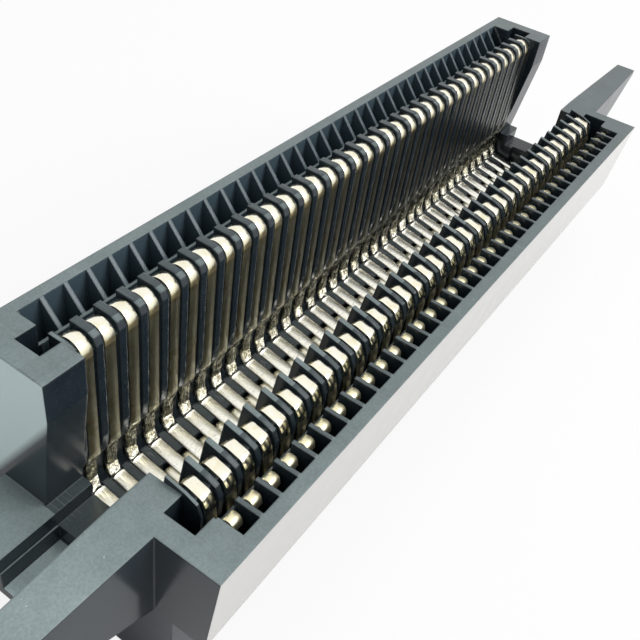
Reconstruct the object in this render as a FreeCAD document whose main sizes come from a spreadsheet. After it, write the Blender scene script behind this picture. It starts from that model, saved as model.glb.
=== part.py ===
# Card edge connector: one moulded housing and two rows of bent gold strips.
# X runs along the rows, Y from the short wall to the tall wall, Z up to the card's side.
# The origin is at the middle of the underside. Lengths are in millimetres.
import FreeCAD, Part
import Sketcher
import os

SIZES = {
    # the two rows of contacts
    "contacts_per_row": 36,
    "contact_pitch": 2.5,
    "end_block": 4.08,
    # the body's section
    "body_width": 25.81,
    "deck_underside": 8.9,
    "skirt_height": 10.4,
    "skirt_draft": 0.95,
    "back_draft": 0.2,
    "short_wall_height": 21.0,
    "short_wall_width": 10.65,
    "tall_wall_height": 29.47,
    "tall_wall_width": 8.76,
    "floor_height": 12.0,
    "step_height": 13.65,
    "step_setback": 0.4,
    "bevel_height": 25.5,
    "bevel_setback": 1.6,
    # the block under the trough, with the slot for the board's edge
    "block_width": 17.0,
    "board_slot_width": 4.5,
    "board_slot_depth": 7.6,
    "board_slot_offset": 1.0,
    "board_slot_overrun": 0.6,
    # short wall: rim, cells, web, channel and comb
    "short_rim": 1.35,
    "short_cell_width": 2.5,
    "short_cell_depth": 7.0,
    "short_web": 0.25,
    "short_web_drop": 1.3,
    "short_channel": 3.15,
    "short_channel_depth": 8.5,
    "short_comb_gap": 1.2,
    "short_comb_width": 3.75,
    "short_comb_rise": 0.8,
    "short_comb_lean": 1.3,
    "short_crest_fall": 0.45,
    "short_crest_round": 1.6,
    "short_slot_width": 1.95,
    # tall wall
    "tall_rim": 1.17,
    "tall_cell_width": 1.99,
    "tall_cell_depth": 9.5,
    "tall_web": 0.3,
    "tall_rib_drop": 2.22,
    "tall_channel": 2.8,
    "tall_channel_depth": 9.47,
    "tall_comb_gap": 1.3,
    "tall_comb_width": 2.9,
    "tall_comb_drop": 0.07,
    "tall_crest_round": 1.1,
    "tall_slot_width": 1.7,
    "channel_overrun": 2.1,
    "rib_thickness": 0.45,
    "slot_run_out": 0.6,
    "window_clearance": 0.2,
    "windows_per_row": 6,
    # the trough's floor between the end blocks
    "bar_seat": 10.1,
    "floor_slope": 0.2,
    "divider_length": 2.5,
    "divider_height": 0.25,
    "divider_clearance": 0.1,
    # bent strips
    "strip_thickness": 0.3,
    "strip_width": 1.2,
    "bar_width": 1.45,
    "tail_width": 0.6,
    "tail_gap": 0.35,
    "strip_clearance": 0.05,
    "tip_drop": 0.6,
    "tip_flat": 0.3,
    "tip_end_reach": 0.15,
    "tip_end_fall": 0.35,
    "tip_loop_depth": 5.15,
    "tip_loop_room": 0.3,
    "short_contact_recess": 0.8,
    "short_hook_rise": 0.15,
    "short_hook_width": 2.6,
    "short_hook_flat": 1.45,
    "short_hook_chamfer": 0.3,
    "short_hook_lean": 0.3,
    "short_hook_shoulder": 0.65,
    "short_hook_fall": 2.1,
    "tall_contact_rise": 0.1,
    "tall_hook_radius": 1.4,
    "tall_hook_top_drop": 0.1,
    "tall_hook_leg": 1.65,
    "bend_height": 16.0,
    "lean_height": 13.8,
    "lean_reach": 0.95,
    "heel_height": 11.6,
    "heel_reach": 0.2,
    "jog_length": 0.85,
    "jog_clearance": 0.15,
    "foot_setback": 0.4,
    "toe_reach": 0.1,
    "notch_reach": 0.1,
    "notch_height": 11.4,
    "tail_reach": 3.65,
    "tail_spring": 0.9,
    "tail_end_height": 0.8,
    # horns beyond both ends of the short wall
    "horn_length": 21.8,
    "horn_root_width": 4.3,
    "horn_tip_width": 3.0,
    "horn_tip_inset": 0.7,
    "horn_tip_depth": 0.8,
    # ear beyond one end of the tall wall
    "ear_length": 6.1,
    "ear_plate_width": 6.4,
    "ear_groove_drop": 1.65,
    "ear_groove_depth": 0.15,
    "ear_ledge_height": 10.0,
    # how far cutters and joined pads run past a surface
    "overrun": 1.0,
}

# Flat faces that stand for each round stretch. The core under a hook has half as many, so it fits inside.
COMB_ROUND_FACES = 2
CORE_FACES = 2
HOOK_FACES = 2 * CORE_FACES

doc = FreeCAD.newDocument("card_edge_connector")
sheet = doc.addObject("Spreadsheet::Sheet", "Sizes")
for row, (alias, value) in enumerate(SIZES.items(), start=1):
    sheet.set(f"A{row}", alias)
    sheet.set(f"B{row}", str(value))
    sheet.setAlias(f"B{row}", alias)
doc.recompute()


def named(text):
    """Turn words such as {body_width} into references to the sheet's cells."""
    return text.format_map({alias: f"Sizes.{alias}" for alias in SIZES})


def number(text):
    return float(sheet.evalExpression(named(text)))


def bind(thing, prop, text):
    thing.setExpression(prop, named(text))


# Places along X
ROW = "({contacts_per_row} * {contact_pitch})"
BODY = f"({ROW} + 2 * {{end_block}})"
FIRST = "(-({contacts_per_row} - 1) / 2 * {contact_pitch})"

# Sides of the strips, bars and tails beside each contact's middle, along X
LEFT = "(-{strip_width} / 2)"
RIGHT = "({strip_width} / 2)"
BAR_RIGHT = f"({LEFT} + {{bar_width}})"
TAIL_LEFT = f"({BAR_RIGHT} + {{tail_gap}})"
TAIL_RIGHT = f"({TAIL_LEFT} + {{tail_width}})"

# Places along Y, from the short wall's outside to the tall wall's outside
FRONT = "(-{body_width} / 2)"
BACK = "({body_width} / 2)"
SHORT_CELL = f"({FRONT} + {{short_rim}})"
SHORT_WEB = f"({SHORT_CELL} + {{short_cell_width}})"
SHORT_CHANNEL = f"({SHORT_WEB} + {{short_web}})"
SHORT_COMB = f"({SHORT_CHANNEL} + {{short_comb_gap}})"
SHORT_CREST_EDGE = f"({SHORT_COMB} + {{short_comb_width}})"
SHORT_FOOT = f"({SHORT_CREST_EDGE} + {{short_comb_lean}})"
SHORT_FACE = f"({FRONT} + {{short_wall_width}})"
TALL_FACE = f"({BACK} - {{tall_wall_width}})"
STEP_FACE = f"({TALL_FACE} + {{step_setback}})"
TALL_CELL = f"({BACK} - {{tall_rim}})"
TALL_WEB = f"({TALL_CELL} - {{tall_cell_width}})"
TALL_CHANNEL = f"({TALL_WEB} - {{tall_web}})"
TALL_COMB = f"({TALL_CHANNEL} - {{tall_comb_gap}})"
TALL_CREST_EDGE = f"({TALL_COMB} - {{tall_comb_width}})"
SHORT_STRIP = f"({SHORT_CREST_EDGE} - {{short_contact_recess}} - {{strip_thickness}})"
TALL_STRIP = f"({TALL_CREST_EDGE} - {{tall_contact_rise}} + {{strip_thickness}})"
TALL_HOOK_MIDDLE = f"({TALL_STRIP} - {{strip_thickness}} + {{tall_hook_radius}})"
TALL_FOOT = f"({TALL_STRIP} + {{foot_setback}})"
BOARD = "{board_slot_offset}"
BOARD_FRONT = f"({BOARD} - {{board_slot_width}} / 2)"
BOARD_BACK = f"({BOARD} + {{board_slot_width}} / 2)"
FRONT_TAIL = f"({BOARD} - {{tail_reach}} / 2)"
BACK_TAIL = f"({BOARD} + {{tail_reach}} / 2)"

# Heights
SHORT_CREST = "({short_wall_height} + {short_comb_rise})"
TALL_CREST = "({tall_wall_height} - {tall_comb_drop})"
SHORT_CHANNEL_BED = "({short_wall_height} - {short_channel_depth})"
TALL_CHANNEL_BED = "({tall_wall_height} - {tall_channel_depth})"
TALL_HOOK_CENTRE = f"({TALL_CREST} - {{tall_hook_top_drop}} - {{tall_hook_radius}})"


# Past the part on every side, for cutters
BELOW = "(-{overrun})"
ABOVE = "({tall_wall_height} + {overrun})"


def floor_at(y):
    """Height of the sloping floor that the strips lie on, at a place along Y."""
    return f"({{bar_seat}} - {{floor_slope}} * ({TALL_FOOT} - {y}))"


def draw(sketch, corners, closed=True):
    """Straight lines between corners, each corner tied to the sheet."""
    places = [FreeCAD.Vector(number(y), number(z), 0) for y, z in corners]
    ends = places[1:] + places[:1] if closed else places[1:]
    lines = [sketch.addGeometry(Part.LineSegment(*pair), False) for pair in zip(places, ends)]
    for line, following in zip(lines, lines[1:]):
        sketch.addConstraint(Sketcher.Constraint("Coincident", line, 2, following, 1))
    if closed:
        sketch.addConstraint(Sketcher.Constraint("Coincident", lines[-1], 2, lines[0], 1))
    starts = [(line, 1) for line in lines]
    if not closed:
        starts.append((lines[-1], 2))
    for (line, end), place, (y, z) in zip(starts, places, corners):
        for kind, text, value in (("DistanceX", y, place.x), ("DistanceY", z, place.y)):
            constraint = sketch.addConstraint(Sketcher.Constraint(kind, -1, 1, line, end, value))
            sketch.setExpression(f"Constraints[{constraint}]", named(text))


def plane(body, role):
    return next(item for item in body.Origin.OriginFeatures if item.Role == role)


def outline(body, name, role, corners):
    sketch = body.newObject("Sketcher::SketchObject", name)
    sketch.AttachmentSupport = (plane(body, role), [""])
    sketch.MapMode = "FlatFace"
    draw(sketch, corners)
    return sketch


def box_corners(low_a, high_a, low_b, high_b):
    return [(low_a, low_b), (high_a, low_b), (high_a, high_b), (low_a, high_b)]


def pad_along(body, name, corners, length, middle="0"):
    """A section drawn across the rows and padded evenly to both sides along X."""
    sketch = outline(body, f"{name}_section", "YZ_Plane", corners)
    bind(sketch, "AttachmentOffset.Base.z", middle)
    pad = body.newObject("PartDesign::Pad", name)
    pad.Profile = sketch
    pad.SideType = "Symmetric"
    pad.Refine = False
    bind(pad, "Length", length)
    return pad


def cut_along(body, name, corners, length, middle="0"):
    sketch = outline(body, f"{name}_section", "YZ_Plane", corners)
    bind(sketch, "AttachmentOffset.Base.z", middle)
    pocket = body.newObject("PartDesign::Pocket", name)
    pocket.Profile = sketch
    pocket.SideType = "Symmetric"
    pocket.Refine = False
    bind(pocket, "Length", length)
    return pocket


def repeat_row(body, feature, copies="{contacts_per_row}", step="{contact_pitch}"):
    """Copies of a feature along the row, one pitch apart unless another step is given."""
    pattern = body.newObject("PartDesign::LinearPattern", f"{feature.Name}_row")
    pattern.Originals = [feature]
    pattern.Direction = (plane(body, "X_Axis"), [""])
    pattern.Mode = "Spacing"
    pattern.Refine = False
    bind(pattern, "Offset", step)
    bind(pattern, "Occurrences", copies)
    body.Tip = pattern
    return pattern


def arc_points(middle_y, middle_z, radius, first, last, facets):
    """Corners of a faceted arc, from one angle to another in degrees."""
    corners = []
    for step in range(facets + 1):
        angle = first + (last - first) * step / facets
        corners.append((f"({middle_y} + {radius} * cos({angle}))", f"({middle_z} + {radius} * sin({angle}))"))
    return corners


# The housing
housing = doc.addObject("PartDesign::Body", "housing")
housing.Label = "housing"

# The body's section as it is at both ends, with the open trough between the walls
end_section = [
    (f"({FRONT} + {{skirt_draft}})", "{skirt_height}"),
    (FRONT, "{short_wall_height}"),
    (SHORT_FACE, "{short_wall_height}"),
    (SHORT_FACE, "{floor_height}"),
    (STEP_FACE, "{floor_height}"),
    (STEP_FACE, "{step_height}"),
    (f"({TALL_FACE} + {{bevel_setback}})", "{step_height}"),
    (TALL_FACE, "{bevel_height}"),
    (TALL_FACE, "{tall_wall_height}"),
    (BACK, "{tall_wall_height}"),
    (f"({BACK} - {{back_draft}})", "{deck_underside}"),
    ("({block_width} / 2)", "{deck_underside}"),
    ("({block_width} / 2)", "0"),
    ("(-{block_width} / 2)", "0"),
    ("(-{block_width} / 2)", "{skirt_height}"),
]
pad_along(housing, "body_block", end_section, BODY)

# A horn beyond each end of the short wall: level on top, rising below and narrowing to its tip
horn_root = f"({BODY} / 2)"
horn_tip = f"({horn_root} + {{horn_length}})"
horn_front = f"({SHORT_FACE} - {{horn_root_width}})"
tip_back = f"({SHORT_FACE} - {{horn_tip_inset}})"
tip_front_edge = f"({tip_back} - {{horn_tip_width}})"
horn_side = [
    (f"({horn_root} - {{overrun}})", "{skirt_height}"),
    (horn_root, "{skirt_height}"),
    (horn_tip, "({short_wall_height} - {horn_tip_depth})"),
    (horn_tip, "{short_wall_height}"),
    (f"({horn_root} - {{overrun}})", "{short_wall_height}"),
]
horn_sketch = outline(housing, "horn_side", "XZ_Plane", horn_side)
bind(horn_sketch, "AttachmentOffset.Base.z", f"(-({SHORT_FACE}))")
horn = housing.newObject("PartDesign::Pad", "horn")
horn.Profile = horn_sketch
horn.Refine = False
bind(horn, "Length", "{horn_root_width}")

trim_sketch = housing.newObject("Sketcher::SketchObject", "horn_taper")
trim_sketch.AttachmentSupport = (plane(housing, "XY_Plane"), [""])
trim_sketch.MapMode = "FlatFace"
past_tip = f"({horn_tip} + {{overrun}})"
for trim_corners in (
    [(horn_root, SHORT_FACE), (horn_tip, tip_back), (past_tip, tip_back), (past_tip, SHORT_FACE)],
    [(horn_root, horn_front), (past_tip, horn_front), (past_tip, tip_front_edge), (horn_tip, tip_front_edge)],
):
    draw(trim_sketch, trim_corners)
bind(trim_sketch, "AttachmentOffset.Base.z", ABOVE)
horn_taper = housing.newObject("PartDesign::Pocket", "horn_sides")
horn_taper.Profile = trim_sketch
horn_taper.Refine = False
bind(horn_taper, "Length", ABOVE)
other_horn = housing.newObject("PartDesign::Mirrored", "other_horn")
other_horn.Originals = [horn, horn_taper]
other_horn.MirrorPlane = (plane(housing, "YZ_Plane"), [""])
other_horn.Refine = False
housing.Tip = other_horn

# The ear at the foot of the tall wall, at one end only: a plate with a groove, and a lower ledge
ear_back = f"({STEP_FACE} + {{ear_plate_width}})"
groove_height = "({step_height} - {ear_groove_drop})"
groove_face = f"({STEP_FACE} - {{ear_groove_depth}})"
ear_section = [
    (SHORT_FACE, "{deck_underside}"),
    (ear_back, "{deck_underside}"),
    (ear_back, "{step_height}"),
    (STEP_FACE, "{step_height}"),
    (STEP_FACE, groove_height),
    (groove_face, groove_height),
    (groove_face, "{ear_ledge_height}"),
    (SHORT_FACE, "{ear_ledge_height}"),
]
ear_middle = f"(-{BODY} / 2 - {{ear_length}} / 2 + {{overrun}} / 2)"
pad_along(housing, "ear", ear_section, "({ear_length} + {overrun})", ear_middle)

# The slot underneath for the board's edge
board_slot_length = f"({ROW} + 2 * {{board_slot_overrun}})"
cut_along(
    housing,
    "board_slot",
    box_corners(BOARD_FRONT, BOARD_BACK, BELOW, "{board_slot_depth}"),
    board_slot_length,
)

# The channel behind each comb runs on a little past the row at both ends
past_row = f"({ROW} + 2 * {{channel_overrun}})"
cut_along(
    housing,
    "short_channel_cut",
    box_corners(SHORT_CHANNEL, f"({SHORT_CHANNEL} + {{short_channel}})", SHORT_CHANNEL_BED, ABOVE),
    past_row,
)
cut_along(
    housing,
    "tall_channel_cut",
    box_corners(f"({TALL_CHANNEL} - {{tall_channel}})", TALL_CHANNEL, TALL_CHANNEL_BED, ABOVE),
    past_row,
)

# Between the end blocks the walls make room for the combs, and the floor slopes down to the short wall
comb_lean = f"({TALL_CREST_EDGE} + {{lean_reach}})"
trough_bed = [
    (SHORT_CHANNEL, ABOVE),
    (SHORT_CHANNEL, SHORT_CHANNEL_BED),
    (SHORT_FOOT, SHORT_CHANNEL_BED),
    (SHORT_FOOT, floor_at(SHORT_FOOT)),
    (TALL_FOOT, "{bar_seat}"),
    (f"({comb_lean} + {{heel_reach}})", "{heel_height}"),
    (comb_lean, "{lean_height}"),
    (TALL_CREST_EDGE, "{bend_height}"),
    (TALL_CREST_EDGE, TALL_CHANNEL_BED),
    (TALL_CHANNEL, TALL_CHANNEL_BED),
    (TALL_CHANNEL, ABOVE),
]
cut_along(housing, "trough_cut", trough_bed, ROW)

# The last tail of the short side stands past the row's end, in a pocket of the end block
last_tail = f"(-{FIRST} + {TAIL_RIGHT} + {{divider_clearance}})"
pocket_back = f"({BACK_TAIL} + {{strip_thickness}} + {{divider_clearance}})"
last_tail_room = [
    (SHORT_FOOT, floor_at(SHORT_FOOT)),
    (pocket_back, floor_at(pocket_back)),
    (pocket_back, SHORT_CHANNEL_BED),
    (SHORT_FOOT, SHORT_CHANNEL_BED),
]
cut_along(
    housing, "last_tail_room_cut", last_tail_room, "{contact_pitch}", f"({last_tail} - {{contact_pitch}} / 2)"
)

# The combs, first as whole ridges: their fins are what the slots leave standing
short_comb = [
    (SHORT_COMB, SHORT_CHANNEL_BED),
    (SHORT_FOOT, SHORT_CHANNEL_BED),
    (SHORT_CREST_EDGE, SHORT_CREST),
]
short_comb += arc_points(
    f"({SHORT_COMB} + {{short_crest_round}})",
    f"({SHORT_CREST} - {{short_crest_fall}} - {{short_crest_round}})",
    "{short_crest_round}",
    90,
    180,
    COMB_ROUND_FACES,
)
pad_along(housing, "short_comb", short_comb, ROW)

tall_comb = [(TALL_CREST_EDGE, TALL_CHANNEL_BED)]
tall_comb += arc_points(
    f"({TALL_CREST_EDGE} + {{tall_crest_round}})",
    f"({TALL_CREST} - {{tall_crest_round}})",
    "{tall_crest_round}",
    180,
    90,
    COMB_ROUND_FACES,
)
tall_comb += [(TALL_COMB, TALL_CREST), (TALL_COMB, TALL_CHANNEL_BED)]
pad_along(housing, "tall_comb", tall_comb, ROW)

# The short wall's web stands lower than the rim and the ribs
web_top = box_corners(SHORT_WEB, SHORT_CHANNEL, "({short_wall_height} - {short_web_drop})", ABOVE)
cut_along(housing, "short_web_cut", web_top, ROW)

# The tall wall's ribs slope down from its rim to a thin web
rib_slope = [
    (TALL_CELL, "{tall_wall_height}"),
    (TALL_CELL, ABOVE),
    (f"({TALL_CHANNEL} - {{tall_comb_gap}} / 2)", ABOVE),
    (f"({TALL_CHANNEL} - {{tall_comb_gap}} / 2)", "({tall_wall_height} - {tall_rib_drop})"),
    (TALL_WEB, "({tall_wall_height} - {tall_rib_drop})"),
]
cut_along(housing, "rib_slope_cut", rib_slope, ROW)


def cell_row(name, low_y, high_y, height, depth):
    """A row of square cells between thin ribs, open at the top."""
    half = "(({contact_pitch} - {rib_thickness}) / 2)"
    corners = box_corners(f"({FIRST} - {half})", f"({FIRST} + {half})", low_y, high_y)
    sketch = outline(housing, f"{name}_mouth", "XY_Plane", corners)
    bind(sketch, "AttachmentOffset.Base.z", height)
    pocket = housing.newObject("PartDesign::Pocket", name)
    pocket.Profile = sketch
    pocket.Refine = False
    bind(pocket, "Length", depth)
    repeat_row(housing, pocket)


cell_row("short_cell", SHORT_CELL, SHORT_WEB, "{short_wall_height}", "{short_cell_depth}")
cell_row("tall_cell", TALL_WEB, TALL_CELL, "{tall_wall_height}", "{tall_cell_depth}")


# The line of each strip's inner side, from the trough over its hook, at a gap inside the strip
def short_hook_line(gap):
    top = f"({{short_wall_height}} + {{short_hook_rise}} - {{strip_thickness}} - {gap})"
    inner = f"({SHORT_STRIP} - {gap})"
    leg = f"({SHORT_STRIP} - {{short_hook_width}} + {gap})"
    return [
        (inner, f"({top} - {{short_hook_chamfer}})"),
        (f"({inner} - {{short_hook_chamfer}})", top),
        (f"({inner} - {{short_hook_chamfer}} - {{short_hook_flat}} + 2 * {gap})", top),
        (f"({leg} + {{short_hook_lean}})", f"({top} - {{short_hook_shoulder}})"),
        (leg, f"({top} - {{short_hook_fall}})"),
    ]


def tall_hook_line(gap, faces):
    heel = f"({TALL_STRIP} + {{lean_reach}} + {{heel_reach}} + {gap})"
    inside = f"({{tall_hook_radius}} - {{strip_thickness}} - {gap})"
    rise = [
        (heel, "{heel_height}"),
        (f"({TALL_STRIP} + {{lean_reach}} + {gap})", "{lean_height}"),
        (f"({TALL_STRIP} + {gap})", "{bend_height}"),
    ]
    return rise + arc_points(TALL_HOOK_MIDDLE, TALL_HOOK_CENTRE, inside, 180, 0, faces)


# Slots between the fins, which leave a core for the strips to hook over
clear = "{strip_clearance}"
short_core = f"({SHORT_STRIP} - {clear})"
short_leg = f"({SHORT_STRIP} - {{short_hook_width}} + {clear})"
tip_front = f"({SHORT_WEB} - {{strip_thickness}} - {clear} - {clear})"
loop_low = "({short_wall_height} - {tip_loop_depth} - {tip_loop_room})"
loop_high = "({short_wall_height} - {tip_loop_depth} + {strip_thickness} + {tip_loop_room})"
slot_mouth = f"({SHORT_COMB} - {{short_comb_gap}} / 2)"
past_foot = f"({SHORT_FOOT} + {{slot_run_out}})"
short_slot = (
    [(short_core, floor_at(short_core))]
    + short_hook_line(clear)[::2]
    + [
        (short_leg, loop_low),
        (tip_front, loop_low),
        (tip_front, loop_high),
        (slot_mouth, loop_high),
        (slot_mouth, ABOVE),
        (past_foot, ABOVE),
        (past_foot, floor_at(past_foot)),
    ]
)
repeat_row(housing, cut_along(housing, "short_slot", short_slot, "{short_slot_width}", FIRST))

tall_heel = f"({TALL_STRIP} + {{lean_reach}} + {{heel_reach}} + {clear})"
tall_core_back = f"({TALL_HOOK_MIDDLE} + {{tall_hook_radius}} - {{strip_thickness}} - {clear})"
behind_comb = f"({TALL_COMB} + {{tall_comb_gap}} / 2)"
before_comb = f"({TALL_CREST_EDGE} - {{slot_run_out}})"
tall_slot = (
    [(tall_heel, floor_at(tall_heel))]
    + tall_hook_line(clear, CORE_FACES)
    + [
        (tall_core_back, TALL_CHANNEL_BED),
        (behind_comb, TALL_CHANNEL_BED),
        (behind_comb, ABOVE),
        (before_comb, ABOVE),
        (before_comb, floor_at(before_comb)),
    ]
)
repeat_row(housing, cut_along(housing, "tall_slot", tall_slot, "{tall_slot_width}", FIRST))

# Low dividers on the floor between the bars, at the foot of the tall wall
divider_front = f"({TALL_FOOT} - {{divider_length}})"
divider = [
    (divider_front, floor_at(divider_front)),
    (TALL_FOOT, "{bar_seat}"),
    (TALL_FOOT, "({bar_seat} + {divider_height})"),
    (divider_front, f"({floor_at(divider_front)} + {{divider_height}})"),
]
divider_middle = f"({FIRST} + {LEFT} + ({{contact_pitch}} + {{bar_width}}) / 2)"
divider_width = "({contact_pitch} - {bar_width} - 2 * {divider_clearance})"
divider_pad = pad_along(housing, "divider", divider, divider_width, divider_middle)
repeat_row(housing, divider_pad, "{contacts_per_row} - 1")

# Windows in the floor, through which the tails reach the board's slot. One serves several neighbours.
room = "{window_clearance}"
window_step = f"({ROW} / {{windows_per_row}})"
window_sketch = housing.newObject("Sketcher::SketchObject", "tail_window_mouths")
window_sketch.AttachmentSupport = (plane(housing, "XY_Plane"), [""])
window_sketch.MapMode = "FlatFace"
bind(window_sketch, "AttachmentOffset.Base.z", "{bar_seat}")
for low_x, high_x, low_y, high_y in (
    (LEFT, BAR_RIGHT, f"({FRONT_TAIL} - {{strip_thickness}})", FRONT_TAIL),
    (TAIL_LEFT, TAIL_RIGHT, BACK_TAIL, f"({BACK_TAIL} + {{strip_thickness}})"),
):
    draw(
        window_sketch,
        box_corners(
            f"({FIRST} + {low_x} - {room} / 2)",
            f"({FIRST} + {window_step} - {{contact_pitch}} + {high_x} + {room} / 2)",
            f"({low_y} - {room})",
            f"({high_y} + {room})",
        ),
    )
tail_windows = housing.newObject("PartDesign::Pocket", "tail_windows")
tail_windows.Profile = window_sketch
tail_windows.Refine = False
bind(tail_windows, "Length", "({bar_seat} - {board_slot_depth} + {overrun})")
tail_window_row = repeat_row(housing, tail_windows, "{windows_per_row}", window_step)
tail_window_row.Refine = True


# A bent strip: its inner line, thickened, then padded to its full width
def bent_strip(name, corners, width):
    path = doc.addObject("Sketcher::SketchObject", f"{name}_line")
    turn = FreeCAD.Rotation(FreeCAD.Vector(1, 1, 1), 120)
    path.Placement = FreeCAD.Placement(FreeCAD.Vector(0, 0, 0), turn)
    draw(path, corners, closed=False)
    bind(path, "Placement.Base.x", LEFT)
    band = doc.addObject("Part::Offset2D", f"{name}_band")
    band.Source = path
    band.Mode = "Skin"
    band.Join = "Intersection"
    band.Fill = True
    bind(band, "Value", "-{strip_thickness}")
    blank = doc.addObject("Part::Extrusion", f"{name}_blank")
    blank.Base = band
    blank.DirMode = "Custom"
    blank.Dir = (1, 0, 0)
    blank.Solid = True
    bind(blank, "LengthFwd", width)
    return blank


def notch(name, low_x, high_x, low_y, high_y, low_z=BELOW):
    """A box that trims a blank where the strip is narrower, up to above the part."""
    cutter = doc.addObject("Part::Box", name)
    for side, low, high in (("x", low_x, high_x), ("y", low_y, high_y), ("z", low_z, ABOVE)):
        bind(cutter, f"Placement.Base.{side}", low)
        bind(cutter, {"x": "Length", "y": "Width", "z": "Height"}[side], f"({high} - {low})")
    return cutter


def trimmed(name, blank, cutters):
    shape = blank
    for index, cutter in enumerate(cutters, start=1):
        cut = doc.addObject("Part::Cut", f"{name}_trim_{index}")
        cut.Base = shape
        cut.Tool = cutter
        shape = cut
    return shape


tip_line = f"({SHORT_WEB} - {clear} - {{strip_thickness}})"
loop_line = "({short_wall_height} - {tip_loop_depth})"
tip_top = "({short_wall_height} - {tip_drop} - {strip_thickness})"
tip_edge = f"({tip_line} - {{tip_flat}})"
short_line = [
    (f"({tip_edge} - {{tip_end_reach}})", f"({tip_top} - {{tip_end_fall}})"),
    (tip_edge, tip_top),
    (tip_line, tip_top),
    (tip_line, loop_line),
    (f"({SHORT_STRIP} - {{short_hook_width}})", loop_line),
]
short_line += reversed(short_hook_line("0"))
short_line += [
    (SHORT_STRIP, floor_at(SHORT_STRIP)),
    (BACK_TAIL, floor_at(BACK_TAIL)),
    (f"({BACK_TAIL} - {{tail_spring}})", "{tail_end_height}"),
]

tall_toe = f"({TALL_FOOT} - {{toe_reach}})"
tall_line = [
    (f"({FRONT_TAIL} + {{tail_spring}})", "{tail_end_height}"),
    (FRONT_TAIL, floor_at(FRONT_TAIL)),
    (tall_toe, floor_at(tall_toe)),
]
tall_line += tall_hook_line("0", HOOK_FACES)
tall_line.append(
    (
        f"({TALL_HOOK_MIDDLE} + {{tall_hook_radius}} - {{strip_thickness}})",
        f"({TALL_HOOK_CENTRE} - {{tall_hook_leg}})",
    )
)

jog_front = f"({SHORT_FOOT} + {{jog_clearance}})"
jog_back = f"({jog_front} + {{jog_length}})"
past_right = f"({TAIL_RIGHT} + {{overrun}})"
past_left = f"({LEFT} - {{overrun}})"
past_front = f"({FRONT} - {{overrun}})"
short_blank = bent_strip("short_side", short_line, f"({TAIL_RIGHT} - {LEFT})")
short_form = trimmed(
    "short_side",
    short_blank,
    [
        notch("short_side_above_jog", RIGHT, past_right, past_front, jog_front),
        notch("short_side_past_jog", past_left, TAIL_LEFT, jog_back, BACK),
    ],
)
tall_blank = bent_strip("tall_side", tall_line, "{bar_width}")
tall_form = trimmed(
    "tall_side",
    tall_blank,
    [
        notch("tall_side_behind_bar", RIGHT, past_right, f"({TALL_FOOT} - {{notch_reach}})", BACK),
        notch("tall_side_above_bar", RIGHT, past_right, FRONT, BACK, "{notch_height}"),
    ],
)
doc.recompute()


# The strips stand in both rows, one pitch apart. Neighbours of one row share a node.
def contact_row(name, form):
    nodes = []
    count = int(number("{contacts_per_row}"))
    for first in range(0, count, 2):
        pair = []
        for place in range(first, min(first + 2, count)):
            strip = doc.addObject("App::Link", f"{name}_{place + 1:02d}")
            strip.LinkedObject = form
            bind(strip, "Placement.Base.x", f"({FIRST} + {place} * {{contact_pitch}})")
            pair.append(strip)
        node = doc.addObject("Part::Compound", f"{name}_group_{first // 2 + 1:02d}")
        node.Links = pair
        node.Label = f"{name}s_{first // 2 + 1:02d}"
        nodes.append(node)
    return nodes


nodes = [housing]
nodes += contact_row("short_side_contact", short_form)
nodes += contact_row("tall_side_contact", tall_form)
doc.recompute()

for item in doc.Objects:
    if "Invalid" in item.State or "Error" in item.State:
        raise RuntimeError(f"{item.Label} did not build: {item.State}")
for node in nodes:
    if node.Shape.isNull() or not node.Shape.isValid():
        raise RuntimeError(f"{node.Label} has no valid shape")

os.makedirs("parts", exist_ok=True)
for node in nodes:
    node.Shape.exportStep(f"parts/{node.Label}.step")
print(f"{len(nodes)} nodes, housing {housing.Shape.Volume:.0f} cubic mm in {len(housing.Shape.Solids)} solid")
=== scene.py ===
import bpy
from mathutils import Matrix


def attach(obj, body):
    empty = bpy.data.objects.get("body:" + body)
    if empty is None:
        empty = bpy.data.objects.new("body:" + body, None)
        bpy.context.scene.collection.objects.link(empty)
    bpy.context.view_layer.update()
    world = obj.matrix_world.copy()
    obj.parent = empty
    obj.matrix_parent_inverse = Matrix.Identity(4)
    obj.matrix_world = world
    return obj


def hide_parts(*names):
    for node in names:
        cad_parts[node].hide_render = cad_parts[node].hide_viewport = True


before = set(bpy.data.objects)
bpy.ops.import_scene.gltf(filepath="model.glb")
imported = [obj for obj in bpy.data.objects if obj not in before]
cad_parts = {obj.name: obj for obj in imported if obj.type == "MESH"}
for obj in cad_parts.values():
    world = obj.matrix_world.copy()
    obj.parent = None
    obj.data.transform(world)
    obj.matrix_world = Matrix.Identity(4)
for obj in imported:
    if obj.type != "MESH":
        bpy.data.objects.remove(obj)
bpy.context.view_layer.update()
print("nodes in the frame:", len(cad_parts))

# %% [markdown]
# ## Units and numbers
# Blender works in metres and this part is measured in millimetres, so every length below is written in
# millimetres and multiplied once by MM. X runs along the rows, Y from the short wall to the tall wall, and
# Z up. The few driving sizes are those that the rows repeat: the pitch of the contacts, their count, and
# the places where strips touch plastic.
# %% Driving sizes
import math
import random

import bmesh
import bpy
from mathutils import Matrix, Vector, noise

MM = 0.001
CONTACTS = 36
PITCH = 2.5
FIRST = -(CONTACTS - 1) / 2 * PITCH
THICKNESS = 0.3
STRIP_WIDTH = 1.2
FLOOR_SEAT = 10.1
FLOOR_SLOPE = 0.2
FOOT = 5.845
print("the row runs from", FIRST, "to", -FIRST, "mm")

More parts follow.
